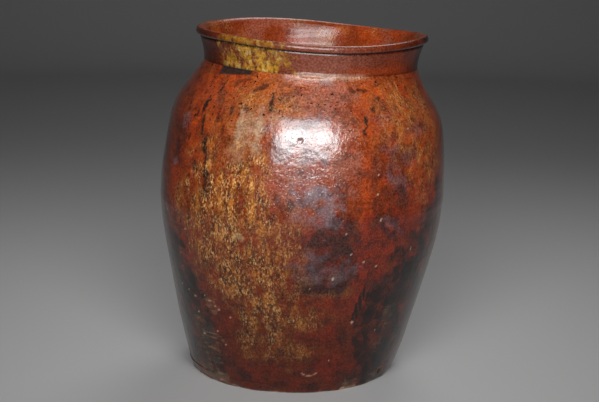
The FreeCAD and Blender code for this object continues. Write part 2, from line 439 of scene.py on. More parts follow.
SOOT = [
    (-49, 311, 3, 8, 1), (-47, 292, 2.5, 12, 0.9, 8), (-44, 272, 3.5, 9, 1), (-42, 256, 2.5, 9, 0.8),
    (-41, 243, 4, 6, 1), (-41, 228, 3, 10, 0.7), (-52, 303, 2, 4, 0.8), (-54, 276, 2, 5, 0.8),
    (-48, 248, 3, 5, 0.8), (-51, 236, 3, 4, 0.6), (-34, 310, 2.5, 6, 0.7), (-28, 312, 3, 4, 0.7),
    (-17, 318, 2.4, 8, 0.9), (-16, 312, 3, 2, 0.9), (24, 300, 2.2, 6, 0.95), (23, 290, 2.4, 3, 0.9),
    (29, 313, 3.5, 2.5, 0.8, 30), (26, 171, 1.2, 2, 0.8), (24, 235, 1.2, 2, 0.8),
    (20, 330, 5, 3, 0.6, -30), (-6, 116, 1, 5, 0.9), (-28, 128, 10, 2, 0.5, -12), (-5, 216, 1.6, 5, 0.5),
    (26, 330, 8, 1.5, 0.7, -10), (-38, 334, 3, 3, 0.6), (-24, 332, 9, 2.5, 0.7, 20),
    (33, 322, 4, 1.5, 0.6), (-34, 338, 10, 2, 0.6, 10), (-12, 336, 6, 1.6, 0.5), (-40, 300, 2, 6, 0.6),
    (-36, 288, 2, 5, 0.6), (-45, 330, 2.4, 5, 0.7),
]
CRACK = [
    (29, 118, 1.8, 10, 1, 8), (31, 113, 1.5, 7, 0.9), (28, 106, 2.2, 10, 1, 12), (27, 97, 2.2, 9, 1, 12),
    (26, 90, 1.8, 6, 0.9, 10), (27.5, 112, 1.6, 6, 0.9),
]
FLAKES = [
    (26, 84, 2.3, 2.3), (29, 246, 1.6, 1.4), (29, 226, 1.8, 1.5), (31, 199, 1.3, 2.6),
    (50, 160, 1.4, 2.6), (-6, 176, 1.6, 1.3), (-41, 101, 4.2, 1), (-38, 96, 2.4, 0.9),
    (-36, 92, 3.4, 0.9), (-30, 86, 1.6, 1.4), (26, 154, 1.2, 1.8), (32, 147, 1.3, 1.3), (54, 12, 3.4, 3),
    (14, 137, 1.2, 2.6), (20, 164, 1.2, 1.1), (-52, 177, 1.4, 1.2), (-50, 162, 1.2, 2),
    (45, 290, 2.2, 1.2), (40, 296, 1.4, 1.2), (-67, 191, 1.5, 1.5), (17, 186, 1.2, 1.1),
    (5, 126, 1.2, 1.2), (-33, 116, 1.2, 1.8), (40, 70, 1.5, 1.2), (18, 40, 1.2, 1.2),
    (-62, 109, 2.8, 0.8), (-56, 106, 3.4, 0.8), (-51, 101, 4.4, 0.8), (-47, 98, 2.6, 0.9),
    (-44, 105, 1.8, 0.7), (-50, 83, 3, 0.8), (-44, 77, 2, 0.8), (-56, 72, 2.4, 0.8), (-38, 66, 2.4, 0.7),
    (-48, 58, 3.4, 0.8), (-34, 52, 2.2, 0.7), (-53, 46, 2, 0.8), (-42, 38, 3.2, 0.7),
]
SHELL = (9, 27, 11, 5)  # the scallop chipped out near the foot, a spot as the flakes are
FRONT_EDGE = 84.0  # turn at which the painted front gives way to the clouds of the back


def laid(points, turn, height, spots, softness, ragged, grain, seed):
    """How much of a layer covers each point, 0 to 1: the most of its soft ragged-edged spots."""
    wander = ragged * noise(points, grain, seed, 3)
    cover = np.zeros(turn.shape)
    for centre, high, wide, tall, strength, *lean in spots:
        far = spot(turn, height, centre, high, wide, tall, *lean) + wander
        cover = np.maximum(cover, strength * smooth_step(1.0 + 0.5 * softness, 1.0 - 0.5 * softness, far))
    return cover


def mix(base, colour, cover):
    """Colours laid over a base by a cover from 0 to 1."""
    return base + (np.asarray(colour) - base) * cover[..., None]


def washed(base, colours, *washes):
    """A base under washes, each a colour's name and its cover, laid in their order."""
    for name, cover in washes:
        base = mix(base, colours[name], cover)
    return base


def glaze_values(colour, **others):
    """The glaze's attributes by name: its colour, and one number at each point for each of the others.

    shade multiplies the colour, and on the wall it is painted light and shade, lighter on the shoulder
    and darker towards the foot; ochre and specks say how thickly the flecks lie, dull takes the gloss
    away, and glassy is the weight of the clear coat.
    """
    even = np.zeros(colour.shape[:-1])
    return {"glaze_colour": colour, **{name: even + value for name, value in others.items()}}


def clouds(points, seed, size, low, high, drawn=0.55):
    """Ragged clouds from noise alone, drawn out downwards as glaze runs, 0 to 1 between two levels."""
    return smooth_step(low, high, noise(points * [1, 1, drawn], size, seed, 3))


# Round the back, where the photograph shows nothing, the same layers lie as clouds:
# colour name to (size, level where the cloud starts, strength, height of its middle, its reach up and down)
BEHIND = {
    "amber": (70, 0, 0.8, 320, 60), "mauve": (90, 0, 0.8, 230, 110), "dusk": (70, 0.05, 0.8, 160, 90),
    "plum": (60, 0.05, 0.8, 200, 120), "umber": (60, 0, 0.9, 60, 90), "flame": (50, 0.05, 0.85, 250, 130),
    "ember": (30, 0.2, 0.6, 50, 60), "slate": (34, 0.25, 0.6, 200, 80), "ink": (30, 0.25, 0.7, 190, 90),
}


def wetted(points):
    """One where the glaze covers the foot and zero along the bare strip left at its edge."""
    turn = turn_of(points)
    edge = 0.2 + 3.2 * between_turns(turn, -62, -36, 8) + 2.0 * between_turns(turn, 100, 240, 20)
    edge += 2.5 * between_turns(turn, 30, 36, 4)
    return smooth_step(edge - 0.8, edge + 1.2, points[..., 2] + 1.6 * noise(points, 12, 62, 2))


def paint_outside(points, colours):
    """Glaze of the wall: painted layers, ochre runs, scuffs, soot, flakes and a bare strip at the foot,
    with painted light and shade.
    """
    turn, height, neck = turn_of(points), points[..., 2], above_neck(points)
    behind = smooth_step(FRONT_EDGE - 16, FRONT_EDGE + 8, np.abs(turn))
    # Brick ground, rusty upwards, under the layers
    colour = np.broadcast_to(colours["brick"], points.shape)
    colour = mix(colour, colours["rust"], smooth_step(90, 235, height + 12 * noise(points, 40, 51, 2)))
    for i, (name, softness, ragged, grain, spots) in enumerate(LAYERS):
        size, start, strength, middle, reach = BEHIND[name]
        back = strength * clouds(points, 170 + i, size, start, start + 0.4) * bump_at(height, middle, reach)
        front = laid(points, turn, height, spots, softness, ragged, grain, 140 + i)
        colour = mix(colour, colours[name], front * (1 - behind) + back * behind)
    # Ochre in patches, gilt where it gathers and dark where it wore off, and tan bars that hide it
    ochre = laid(points, turn, height, OCHRE, 1.1, 0.6, 20, 52) * (1 - behind)
    run = clouds(points, 82, 80, 0.05, 0.4, 0.35) * smooth_step(20, 90, height)
    patches = 0.85 + 1.1 * noise(points * [1, 1, 0.6], 14, 88, 3)
    ochre = np.clip((ochre + behind * run) * patches, 0, 1)
    gilt = clouds(points, 98, 9, -0.1, 0.45, 0.35) * ochre
    worn = clouds(points, 89, 8, 0.05, 0.4, 0.4) * ochre
    tan = laid(points, turn, height, TAN, 1.4, 0.6, 12, 53)
    tan = np.clip(tan + 0.6 * behind * ochre * clouds(points, 83, 26, 0.3, 0.6), 0, 1)
    colour = washed(
        colour, colours, ("toffee", 0.75 * ochre), ("gilt", 0.75 * gilt), ("toffee_dark", 0.5 * worn),
        ("tan", 0.9 * tan))
    ochre = ochre * (1 - 0.7 * tan)
    # Small pale, reddened and smoked places, and an uneven tone over all
    pale = laid(points, turn, height, PALE, 0.8, 0.5, 4, 54)
    reddened = clouds(points, 86, 14, 0.1, 0.5, 0.8) * (1 - ochre) * (1 - tan)
    smoked = clouds(points, 87, 12, 0.15, 0.5, 0.8) * (1 - tan)
    colour = washed(
        colour, colours, ("ash", 0.45 * pale), ("ember", 0.35 * reddened), ("dusk", 0.4 * smoked))
    tone = 1.0 + 0.25 * noise(points, 11, 55, 3) + 0.2 * noise(points * [0.3, 0.3, 3.0], 8, 56, 2)
    colour = colour * tone[..., None]
    # Wear low on the wall: a dusty veil, rubbed streaks in it and the heel at the left
    scuff = laid(points, turn, height, SCUFFS, 1.0, 0.6, 10, 57) * (1 - behind)
    scuff += behind * bump_at(height, 20, 45) * clouds(points, 84, 30, 0.0, 0.4)
    rubbed = scuff * smooth_step(0.12, 0.5, noise(points * [0.25, 0.25, 1.8], 4, 58, 3))
    heel = scuff * smooth_step(28, 4, height) * smooth_step(-20, -36, turn)
    colour = washed(
        colour, colours, ("scuff", 0.2 * scuff + 0.3 * heel), ("scuff", 0.5 * rubbed))
    # Soot, the crack, and painted shadow in the undercut of the neck
    soot_and_shadow = laid(points, turn, height, SOOT, 0.6, 0.7, 4, 59)
    soot_and_shadow = np.maximum(soot_and_shadow, laid(points, turn, height, CRACK, 0.4, 0.25, 4, 60))
    soot_and_shadow = np.maximum(soot_and_shadow, behind * clouds(points, 85, 9, 0.55, 0.7) * bump_at(height, 300, 60))
    # Black painted into the undercut below the collar, as its shadow
    undercut_shadow = smooth_step(-9.0, -7.5, neck - 0.2 * turn_gap(turn, -50)) * between_turns(turn, -52, -33, 3)
    soot_and_shadow = np.maximum(soot_and_shadow, undercut_shadow)
    colour = mix(colour, colours["iron"], 0.95 * soot_and_shadow)
    # Flaked spots, the chipped scallop's rim, the unglazed foot, and a pale painted highlight along the
    # bead
    flake = np.zeros(turn.shape)
    for centre, high, wide, tall in FLAKES:
        far = spot(turn, height, centre, high, 0.8 * wide, 0.8 * tall) + 0.3 * noise(points, 3, 61)
        flake = np.maximum(flake, smooth_step(1.1, 0.7, far))
    rim = bump_at(spot(turn, height, *SHELL), 0.9, 0.12) * smooth_step(27.5, 25, height)
    flake = np.maximum(flake, 0.7 * rim)
    bare = 1 - wetted(points)
    # The bead at the front gets a thin wash of the flake colour as its painted highlight
    bead = bump_at(neck, -0.4, 3.0) * between_turns(turn, *BEAD_TURNS)
    colour = washed(
        colour, colours, ("flake", 0.8 * flake), ("bare_clay", 0.9 * bare), ("flake", 0.35 * bead))
    # Specks thicken and the coat gathers upwards, the foot darkens in painted shade, and wear is matt and
    # keeps its tone
    specks = 0.15 + 0.85 * smooth_step(255, 320, height) - 0.1 * ochre
    dull = 0.3 * scuff + 0.6 * rubbed + 0.7 * bare + 0.5 * flake + 0.2 * ochre + 0.4 * bead + 0.9 * undercut_shadow
    marks = np.clip(rubbed + flake + bare + 0.6 * heel, 0, 1)
    # Painted light and shade: the colour is darkened towards the foot and lightened on the shoulder
    depth = 0.52 + 0.48 * smooth_step(30, 200, height) + 0.48 * smooth_step(185, 245, height)
    shade = depth * (1 - marks) + marks
    glassy = smooth_step(150, 250, height) * (1 - 0.8 * smooth_step(-26, -12, neck))
    glassy = glassy * (1 - 0.5 * tan) * (1 - marks)
    dull = np.clip(dull, 0, 1)
    return glaze_values(colour, shade=shade, ochre=ochre, specks=specks, dull=dull, glassy=glassy)


def paint_collar(points, rise, colours):
    """Glaze of the collar and the lip's outside: runny ochre to the left of the front, brown beyond.

    Rise is the share of the way up the collar, from 0 at the neck to 1 at the hem of the lip.
    """
    turn = turn_of(points)
    # Mauve in the middle, dark at both edges, and warm to the right
    colour = np.broadcast_to(colours["brick"], points.shape)
    middle = smooth_step(0.0, 1.0, 1 - np.abs(turn_gap(turn, 6)) / 40)
    left_edge = smooth_step(-50, -62, turn) * smooth_step(-120, -85, turn)
    right_edge = smooth_step(38, 74, turn) * smooth_step(130, 95, turn)
    warm = clouds(points, 90, 40, -0.1, 0.35, 1.0) * smooth_step(14, 34, turn)
    band = bump_at(rise, 0.2, 0.16) * between_turns(turn, 24, 50, 12)
    colour = washed(
        colour, colours, ("mauve", 0.8 * middle), ("umber", 0.5 * left_edge), ("umber", 0.85 * right_edge),
        ("flame", 0.35 * warm), ("flame", 0.6 * band))
    # Ochre left of the front, and in places behind, with yellow runs, pale curds and dark veins in it
    ragged = turn + 8 * noise(points, 10, 99, 3)
    thinned = smooth_step(0.95, 1.1, rise + 0.15 * noise(points, 8, 107))
    reach = between_turns(ragged, -44, -20, 12) * (1 - 0.55 * thinned)
    reach = np.maximum(reach, 0.8 * smooth_step(20, 0, np.abs(turn_gap(turn, 150))))
    reach = np.maximum(reach, 0.5 * clouds(points, 91, 45, 0.2, 0.5) * smooth_step(80, 110, np.abs(turn)))
    ochre = np.clip(reach * (1.0 + 0.5 * noise(points, 12, 92, 2)), 0, 1)
    run = noise(points * [1, 1, 0.55], 8, 93, 3)
    yellow = ochre * smooth_step(-0.25, 0.2, run + 0.25 * bump_at(turn, -28, 12) - 0.02)
    curds = yellow * smooth_step(0.1, 0.5, noise(points, 7, 94, 2))
    veins = ochre * smooth_step(0.2, 0.5, noise(points, 5, 97, 2))
    colour = washed(
        colour, colours, ("toffee", 0.8 * ochre), ("butter", 0.85 * yellow), ("ash", 0.5 * curds),
        ("toffee_dark", 0.6 * veins))
    colour = colour * (1.0 + 0.14 * noise(points, 12, 95, 3))[..., None]
    # Painted shadow in the groove under the lip and along the neck, and a pale painted highlight on the
    # bead
    groove = smooth_step(0.85, 0.94, rise) * smooth_step(1.3, 1.05, rise)
    beaded = between_turns(turn, *BEAD_TURNS)
    shadow = 0.85 * groove + 0.4 * bump_at(rise, 0.0, 0.05) * (1 - beaded)
    bead = bump_at(rise, 0.0, 0.1) * beaded
    colour = washed(colour, colours, ("iron", np.clip(shadow, 0, 1)), ("flake", 0.35 * bead))
    return glaze_values(colour, shade=1, ochre=0.5 * ochre, specks=0.25, dull=0.05 + 0.4 * bead, glassy=0.1)


def paint_inside(points, colours):
    """Glaze of the inside: even brown with mauve and flame clouds, in painted shade darker downwards."""
    height = points[..., 2]
    colour = washed(
        np.broadcast_to(colours["rust"], points.shape), colours,
        ("mauve", 0.6 * clouds(points, 100, 60, -0.1, 0.4, 1.0)),
        ("flame", 0.6 * clouds(points, 101, 50, 0.0, 0.4, 1.0)),
        ("amber", 0.5 * clouds(points, 102, 34, 0.1, 0.5, 1.0)))
    colour = colour * (1.0 + 0.15 * noise(points, 14, 103, 3))[..., None]
    # Painted shade: darker deeper into the jar, lighter towards the mouth
    colour = colour * (0.55 + 0.9 * smooth_step(150, 350, height))[..., None]
    ochre = 0.5 * clouds(points, 104, 45, 0.25, 0.6, 1.0)
    return glaze_values(colour, shade=1, ochre=ochre, specks=0.3, dull=0.1, glassy=0.12)


def paint_bare(points, colours):
    """Bare fired clay: buff with rubbed, stained and gritty places."""
    colour = np.broadcast_to(colours["bare_clay"], points.shape)
    colour = mix(colour, colours["umber"], 0.6 * smooth_step(-0.2, 0.5, noise(points, 30, 105, 3)))
    colour = colour * (1.0 + 0.2 * noise(points, 6, 106, 3))[..., None]
    return glaze_values(colour, shade=1, ochre=0, specks=0.3, dull=1, glassy=0)


# Meshes

def closed_grid(name, rows, paints, poles=False):
    """A closed surface from a grid of points: rows by points around, joined in both directions.

    With poles the first and last rows are closed by fans to their middle points, and otherwise the
    last row is joined to the first, as round a ring. Rows run up the outside, so that faces look out.
    """
    count, around = rows.shape[:2]
    verts = rows.reshape(-1, 3) * MM
    i, j = np.meshgrid(np.arange(count - 1 if poles else count), np.arange(around), indexing="ij")
    below, above = i * around, ((i + 1) % count) * around
    after = (j + 1) % around
    faces = np.stack([below + j, below + after, above + after, above + j], -1).reshape(-1, 4).tolist()
    values = {key: value.reshape(count * around, -1) for key, value in paints.items()}
    if poles:
        ends = np.stack([rows[0].mean(0), rows[-1].mean(0)]) * MM
        verts = np.concatenate([verts, ends])
        last = (count - 1) * around
        here, onward = np.arange(around), (np.arange(around) + 1) % around
        tip = count * around
        faces += np.stack([onward, here, np.full(around, tip)], -1).tolist()
        faces += np.stack([last + here, last + onward, np.full(around, tip + 1)], -1).tolist()
        values = {k: np.concatenate([v, v[:1], v[last:last + 1]]) for k, v in values.items()}
    mesh = bpy.data.meshes.new(name)
    mesh.from_pydata(verts, [], faces)
    for key, value in values.items():
        if value.shape[1] == 3:
            full = np.concatenate([np.clip(value, 0, 1), np.ones((len(value), 1))], 1)
            mesh.attributes.new(key, "FLOAT_COLOR", "POINT").data.foreach_set("color", full.ravel())
        else:
            mesh.attributes.new(key, "FLOAT", "POINT").data.foreach_set("value", value.ravel())
    mesh.polygons.foreach_set("use_smooth", [True] * len(mesh.polygons))
    mesh.update()
    mesh.set_sharp_from_angle(angle=math.radians(38))
    piece = bpy.data.objects.new(name, mesh)
    bpy.context.collection.objects.link(piece)
    return piece


def joined(*parts):
    """Attribute dictionaries, one for each stretch of rows, as one."""
    return {key: np.concatenate([part[key] for part in parts]) for key in parts[0]}


def wall_rows(section, skin, start, end, turn, sizes, crowd=1.0):
    """Rows of one skin of a thrown section, uneven as clay is.

    They run from one length along the axis to another, and lie closer towards the end as crowd grows.
    """
    share = 1 - (1 - np.linspace(0, 1, WALL_ROWS[skin])[:, None]) ** crowd
    along = start * (1 - share) + end * share
    turns = np.broadcast_to(turn, along.shape)
    points = on_section(section, turns, along, section[skin](along))
    uneven = outside_unevenness if skin == "outside" else inside_unevenness
    return pushed(points, uneven(points, sizes))


def level(height):
    """A level plane as a point and an upward direction."""
    return np.array([0, 0, height]), np.array([0, 0, 1.0])


NECK_PLANE = (np.array([NECK_X, 0, NECK_SEAM]), NECK_AXES[:, 2])


def turns_around():
    """Turns right round the jar, closest together at the front: an even angle less 0.3 of its sine."""
    even = np.arange(AROUND) * 2 * math.pi / AROUND - math.pi
    return np.degrees(even - 0.3 * np.sin(even))


def seam_rows(outer, inner):
    """Rows across a seam's face, between an outer and an inner ring, without the two rings themselves."""
    share = np.linspace(0, 1, SEAM_ROWS + 2)[1:-1, None, None]
    return outer * (1 - share) + inner * share


def shell_piece(name, outer, inner, outer_paint, colours):
    """A ring of clay from the rows up its outside and down its inside, with flat seams above and below."""
    top, foot = seam_rows(outer[-1], inner[0]), seam_rows(inner[-1], outer[0])
    bare_top, bare_foot = paint_bare(top, colours), paint_bare(foot, colours)
    paints = joined(outer_paint, bare_top, paint_inside(inner, colours), bare_foot)
    return closed_grid(name, np.concatenate([outer, top, inner, foot]), paints)


def finish_piece(piece, node, finish):
    """Gives a piece its finish, a material made when first asked for, hangs it under the root and hides its
    CAD node.
    """
    piece.data.materials.append(bpy.data.materials.get(finish) or glaze_material(finish))
    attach(piece, "root")
    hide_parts(node)


# Materials

def node_maker(material):
    """A short way to add a shader node, set its values and link its inputs."""
    tree = material.node_tree

    def add(kind, inputs=None, **options):
        node = tree.nodes.new(kind)
        for key, value in options.items():
            setattr(node, key, value)
        for key, value in (inputs or {}).items():
            if isinstance(value, bpy.types.NodeSocket):
                tree.links.new(value, node.inputs[key])
            else:
                node.inputs[key].default_value = value
        return node

    return add


# Grains of the fired surface: (grains in a metre, octaves, roughness)
GRAINS = {
    "gold": (540.0, 2.0, 0.6), "brown": (300.0, 3.0, 0.7), "sparks_and_glints": (620.0, 1.0, 0.5),
    "specks": (230.0, 2.0, 0.6), "mottle": (480.0, 3.0, 0.65), "drifts": (130.0, 4.0, 0.7),
    "pores": (460.0, 1.0, 0.5),
}
RUN_STRETCH = (1.0, 1.0, 0.55)  # flecks are drawn out downwards
MATT = 0.75


def glaze_material(name):
    """Fired glaze: painted colour under flecks and specks, an orange-peel skin and a painted clear coat.

    The skin mottles the painted colour darker, and lighter with a little painted glint. Where ochre lies,
    pale flecks drift over it, then dark toffee ones and small pale ones, partly painted glints, and
    specks of the iron colour lie on top.
    """
    colours, looks = settings()[1:]
    material = bpy.data.materials.new(name)
    material.use_nodes = True
    material.node_tree.nodes.clear()
    add = node_maker(material)
    place = add("ShaderNodeTexCoord").outputs["Object"]
    drawn = add("ShaderNodeMapping", {"Vector": place, "Scale": RUN_STRETCH}).outputs["Vector"]

    def grain(vector, scale, detail, rough):
        inputs = {"Vector": vector, "Scale": scale, "Detail": detail, "Roughness": rough}
        return add("ShaderNodeTexNoise", inputs).outputs["Fac"]

    def attribute(key, output="Fac"):
        return add("ShaderNodeAttribute", attribute_name=key).outputs[output]

    def band(value, low, high, top=1.0):
        inputs = {"Value": value, "From Min": low, "From Max": high, "To Max": top}
        return add("ShaderNodeMapRange", inputs, interpolation_type="SMOOTHSTEP").outputs["Result"]

    def times(a, b):
        return add("ShaderNodeMath", {0: a, 1: b}, operation="MULTIPLY").outputs[0]

    def blend(factor, a, b):
        return add("ShaderNodeMix", {0: factor, 6: a, 7: b}, data_type="RGBA").outputs[2]

    def tuned(colour, **values):
        return add("ShaderNodeHueSaturation", {"Color": colour, **values}).outputs["Color"]

    def flecks(kind, vector, low, high, top, cover, under, colour):
        """One kind of fleck, where its grain lies between two levels, over the colour under it."""
        share = times(band(grain(vector, *GRAINS[kind]), low, high, top), cover)
        return blend(share, under, (*colours[colour], 1.0))

    base = attribute("glaze_colour", "Color")
    ochre = attribute("ochre")
    # Lighter mottles lean a little towards a whitish tint, partly a haze of the glaze and partly painted
    # glints of the peel
    lighter_and_glinting = blend(0.025, tuned(base, Value=1.14), (*colours["bloom"], 1.0))
    mottle = band(grain(place, *GRAINS["mottle"]), 0.38, 0.62)
    colour = blend(mottle, tuned(base, Saturation=1.13, Value=0.74), lighter_and_glinting)
    drifting = times(ochre, band(grain(drawn, *GRAINS["drifts"]), 0.34, 0.58, 1.1))
    colour = flecks("gold", drawn, 0.47, 0.64, 0.9, drifting, colour, "ochre_light")
    colour = flecks("brown", drawn, 0.51, 0.38, 0.8, ochre, colour, "toffee_dark")
    # Small pale flecks in the ochre, partly pale grains and partly painted glints
    colour = flecks("sparks_and_glints", drawn, 0.62, 0.72, 0.5, ochre, colour, "ash")
    colour = flecks("specks", place, 0.65, 0.69, 1.0, attribute("specks"), colour, "iron")
    # The painted light and shade of the wall multiply the colour here
    colour = tuned(colour, Value=attribute("shade"))

    peel = grain(place, looks.peel_scale, 2.0, 0.5)
    pores = times(band(grain(place, *GRAINS["pores"]), 0.30, 0.42), 0.35)
    height = add("ShaderNodeMath", {0: peel, 1: pores}, operation="ADD").outputs[0]
    bump = add("ShaderNodeBump", {"Height": height, "Distance": looks.peel_depth, "Strength": 1.0})
    skin = bump.outputs["Normal"]
    matted = {"Value": attribute("dull"), "To Min": looks.gloss, "To Max": MATT}
    shader = add("ShaderNodeBsdfPrincipled", {
        "Base Color": colour, "Roughness": add("ShaderNodeMapRange", matted).outputs["Result"], "IOR": 1.5,
        "Normal": skin, "Coat Weight": attribute("glassy"), "Coat Roughness": looks.gloss,
        "Coat IOR": looks.coat_index, "Coat Normal": skin,
    })
    add("ShaderNodeOutputMaterial", {"Surface": shader.outputs["BSDF"]})
    return material


# Settings

def glaze_colour(text, red, green, blue):
    """A colour property whose default is written as it looks on a screen, 0 to 255."""
    return bpy.props.FloatVectorProperty(
        name=text, description="Colour of the " + text.lower() + " in the glaze", subtype="COLOR", size=3,
        min=0.0, max=1.0, default=tuple(float(v) for v in seen(red, green, blue)))


def number(text, description, default, least=0.0, **others):
    """A number property, not below zero unless another least value is given."""
    return bpy.props.FloatProperty(name=text, description=description, default=default, min=least, **others)


class JarSizes(bpy.types.PropertyGroup):
    """Unevenness of the clay, in millimetres."""
    swelling: number(
        "Swelling", "Height of the slow unevenness of the wall, in millimetres", 0.5)
    ring_pitch: number(
        "Ring pitch", "Distance between throwing rings outside, in millimetres", 7.0, least=3.0)
    ring_depth: number(
        "Ring depth", "Height of the throwing rings outside, in millimetres", 0.022)
    neck_bead: number(
        "Neck bead", "Height of the bead along the neck joint, in millimetres", 1.2)
    lip_groove: number(
        "Lip groove", "Depth of the groove under the lip, in millimetres", 1.2)
    finger_pitch: number(
        "Finger pitch", "Distance between finger ridges inside, in millimetres", 17.0, least=5.0)
    finger_depth: number(
        "Finger depth", "Height of the finger ridges inside, in millimetres", 0.7)


class JarPaints(bpy.types.PropertyGroup):
    """Colours of the fired glaze and clay."""
    rust: glaze_colour("Rust", 120, 44, 8)
    amber: glaze_colour("Amber brown", 156, 82, 40)
    flame: glaze_colour("Flame orange", 158, 58, 9)
    ember: glaze_colour("Ember red", 128, 34, 5)
    mauve: glaze_colour("Mauve brown", 144, 86, 70)
    dusk: glaze_colour("Dusky brown", 54, 22, 18)
    plum: glaze_colour("Plum", 92, 36, 18)
    # Slate grey, partly the glaze's own and partly painted sheen
    slate: glaze_colour("Slate", 114, 102, 108)
    ink: glaze_colour("Ink", 44, 26, 28)
    brick: glaze_colour("Brick", 112, 38, 7)
    umber: glaze_colour("Umber", 22, 6, 4)
    toffee: glaze_colour("Toffee", 128, 62, 14)
    ochre_light: glaze_colour("Light ochre", 214, 156, 94)
    gilt: glaze_colour("Gilt brown", 186, 114, 42)
    toffee_dark: glaze_colour("Dark toffee", 52, 14, 5)
    butter: glaze_colour("Butter yellow", 208, 152, 40)
    tan: glaze_colour("Tan", 164, 134, 108)
    ash: glaze_colour("Pale ash", 222, 204, 150)
    scuff: glaze_colour("Scuff", 150, 122, 100)
    # Flaked spots, and also the painted highlight along the neck bead
    flake: glaze_colour("Flaked spot", 206, 172, 146)
    # Iron black: the glaze's own black specks and sooty drips, and also painted shadow in the undercut and
    # under the lip
    iron: glaze_colour("Iron black", 14, 7, 5)
    # Whitish tint of the lighter mottles, partly a haze of the glaze and partly painted glints
    bloom: glaze_colour("Bloom", 190, 176, 164)
    bare_clay: glaze_colour("Bare clay", 158, 128, 104)


class JarLooks(bpy.types.PropertyGroup):
    """Skin and gloss of the glaze."""
    gloss: number("Glaze roughness", "Roughness of the glossiest glaze", 0.17, max=1.0)
    coat_index: number("Coat index", "Index of refraction of the clear coat", 1.85, least=1.0)
    peel_scale: number("Skin grain", "Grains of the orange-peel skin in a metre", 280.0, least=10.0)
    peel_depth: number("Skin depth", "Depth of the orange-peel skin", 0.0002, unit="LENGTH")


class JarStage(bpy.types.PropertyGroup):
    """Floor, lamps and room light."""
    floor_colour: bpy.props.FloatVectorProperty(
        name="Floor", description="Colour of the floor", subtype="COLOR", size=3, default=(0.6, 0.6, 0.6),
        min=0.0, max=1.0)
    world_level: number("Room light", "Strength of the even light from all round", 0.05)
    low_power: number("Low front lamps", "Power of each low half of the soft box", 1.3, unit="POWER")
    high_power: number("High front lamps", "Power of each high half of the soft box", 0.6, unit="POWER")
    panel_size: number(
        "Soft box panel", "Width of each of the four panels", 0.78, least=0.01, unit="LENGTH")
    back_power: number("Back lamp", "Power of the soft lamp behind the jar", 1.3, unit="POWER")


def settings():
    """The user's settings: sizes, glaze colours by name as light values, and looks."""
    scene = bpy.context.scene
    colours = {name: tuple(getattr(scene.jar_paints, name)) for name in JarPaints.__annotations__}
    return scene.jar_sizes, colours, scene.jar_looks


# Operators

class JAR_OT_floor(bpy.types.Operator):
    """Add the beaten floor disc with its bare, rubbed heel"""
    bl_idname = "jar.floor"
    bl_label = "Floor disc"

    def execute(self, context):
        sizes, colours = settings()[:2]
        radius, height = np.array(FLOOR_SECTION).T[:, :, None]
        a = bearing(turns_around())[None, :]
        points = np.stack([radius * np.cos(a), radius * np.sin(a), height + 0 * a], -1)
        rim = radius > BASE_RADIUS - 4.0
        rows = pushed(points, np.where(rim, outside_unevenness(points, sizes), 0.0))
        bare, glazed = paint_bare(rows, colours), paint_outside(rows, colours)
        wet = wetted(rows) * (radius > BASE_RADIUS - 1.0)
        paints = {}
        for key, value in bare.items():
            cover = wet[..., None] if value.ndim == 3 else wet
            paints[key] = value + (glazed[key] - value) * cover
        piece = closed_grid("jar_floor", rows, paints, poles=True)
        finish_piece(piece, "floor_slab", "foot_clay")
        return {"FINISHED"}


class JAR_OT_walls(bpy.types.Operator):
    """Add the two thrown sections of the wall, foot to belly and belly to neck"""
    bl_idname = "jar.walls"
    bl_label = "Thrown walls"

    def execute(self, context):
        sizes, colours = settings()[:2]
        turn = turns_around()
        belly = level(BELLY_SEAM)
        for name, node, section, foot, head, crowd in (
            ("jar_lower", "lower_wall", LOWER, level(FLOOR_TOP), belly, 1.0),
            ("jar_upper", "upper_wall", UPPER, belly, NECK_PLANE, 1.35),
        ):
            skins = {}
            for skin in ("outside", "inside"):
                start = along_at(section, skin, turn, *foot, FOOT_GUESS)
                end = along_at(section, skin, turn, *head, HEAD_GUESS)
                skins[skin] = (start, end)
            outer = wall_rows(section, "outside", *skins["outside"], turn, sizes, crowd)
            inner = wall_rows(section, "inside", *skins["inside"][::-1], turn, sizes)
            piece = shell_piece(name, outer, inner, paint_outside(outer, colours), colours)
            finish_piece(piece, node, "fired_glaze")
        return {"FINISHED"}


class JAR_OT_collar(bpy.types.Operator):
    """Add the flaring collar on the neck"""
    bl_idname = "jar.collar"
    bl_label = "Collar"

    def execute(self, context):
        sizes, colours = settings()[:2]
        # The outside flares as the share of its height to the power 1.2, less half a sine wave
        share = np.linspace(0, 1, COLLAR_ROWS["outside"])[:, None]
        turns = np.broadcast_to(turns_around(), (len(share), AROUND))
        radius = NECK_RADIUS + (COLLAR_TOP_RADIUS - NECK_RADIUS) * share ** 1.2
        radius = radius - 1.1 * COLLAR_HOLLOW * np.sin(np.pi * share)
        radius = radius - sizes.lip_groove * smooth_step(0.86, 0.95, share)
        height = share * (COLLAR_HEIGHT + rim_wave(turns))
        outer = on_neck(turns, height, radius + 0 * height)
        outer = pushed(outer, outside_unevenness(outer, sizes))
        # The inside runs straight from the edge down to the neck, less half a sine wave
        down = np.linspace(1, 0, COLLAR_ROWS["inside"])[:, None]
        turns = np.broadcast_to(turns_around(), (len(down), AROUND))
        neck_inside = NECK_RADIUS - COLLAR_WALL
        radius = neck_inside + (TOP_INSIDE - neck_inside) * down - COLLAR_HOLLOW * np.sin(np.pi * down)
        height = down * (COLLAR_HEIGHT + EDGE_HEIGHT + rim_wave(turns))
        inner = on_neck(turns, height, radius + 0 * height)
        inner = pushed(inner, 0.6 * inside_unevenness(inner, sizes))
        piece = shell_piece("jar_collar", outer, inner, paint_collar(outer, share, colours), colours)
        finish_piece(piece, "collar", "fired_glaze")
        return {"FINISHED"}


